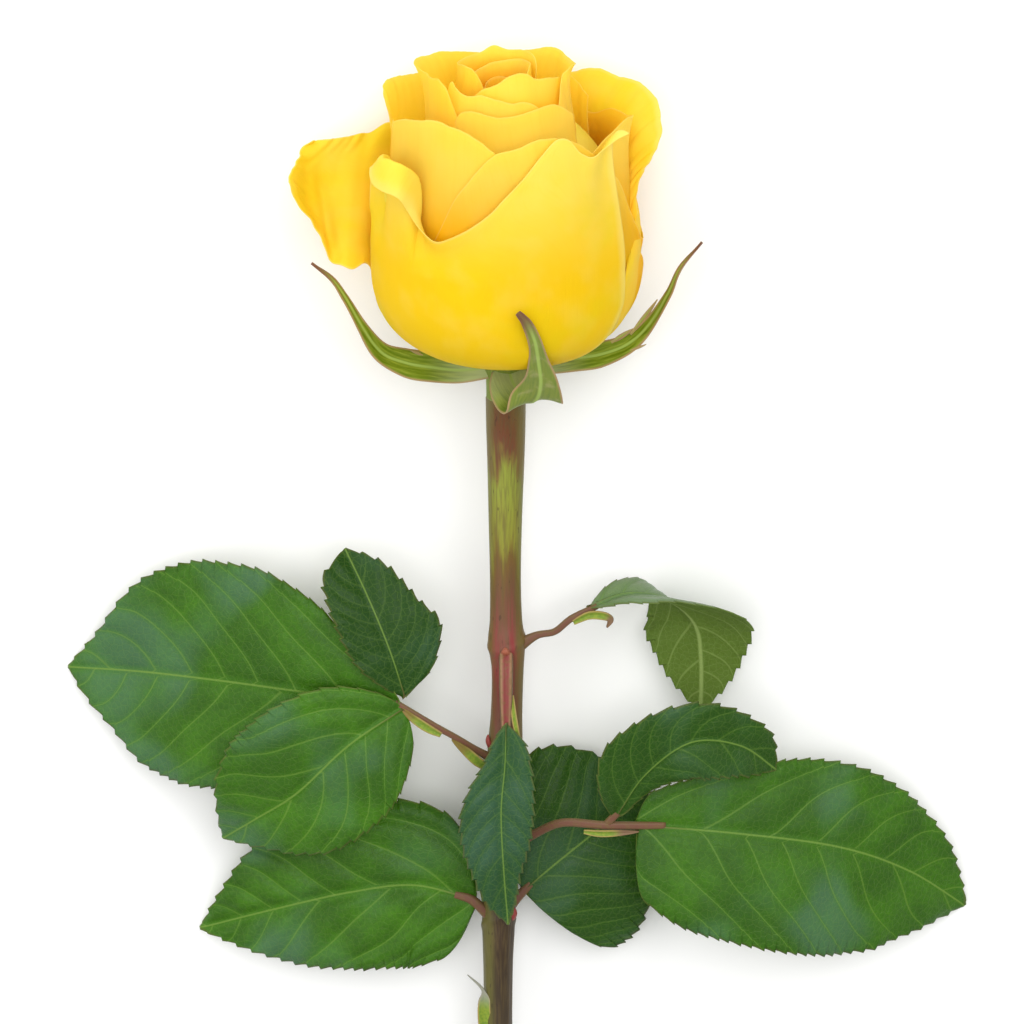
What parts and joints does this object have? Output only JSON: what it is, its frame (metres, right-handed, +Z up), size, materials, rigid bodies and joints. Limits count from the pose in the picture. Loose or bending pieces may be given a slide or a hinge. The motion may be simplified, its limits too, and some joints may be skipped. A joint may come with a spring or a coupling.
{
  "type": "cut rose",
  "caption": "Cut rose that lies on a surface: a half-open bloom of layered petals over its calyx, on a leafy stem with an oblique cut end.",
  "frame": {"origin": "on the surface that the rose lies on, under the middle of its box", "axes": "+Y along the stem from the cut end to the bloom, +Z up from the surface, +X to the right seen from above"},
  "size_m": [0.1684, 0.3522, 0.0538],
  "materials": {
    "petals": "velvety and matte, warm yellow",
    "sepals": "matte light green with pinkish edges",
    "stem": "smooth living bark, green to red-brown",
    "leaves": "satin dark green with lighter veins"
  },
  "bodies": {
    "root": {"bloom": "petals", "calyx": "sepals", "stem": "stem", "left_compound_leaf": "leaves", "lower_left_leaf": "leaves", "upper_right_leaf": "leaves", "front_leaf": "leaves", "right_compound_leaf": "leaves", "back_right_leaf": "leaves"}
  },
  "joints": []
}
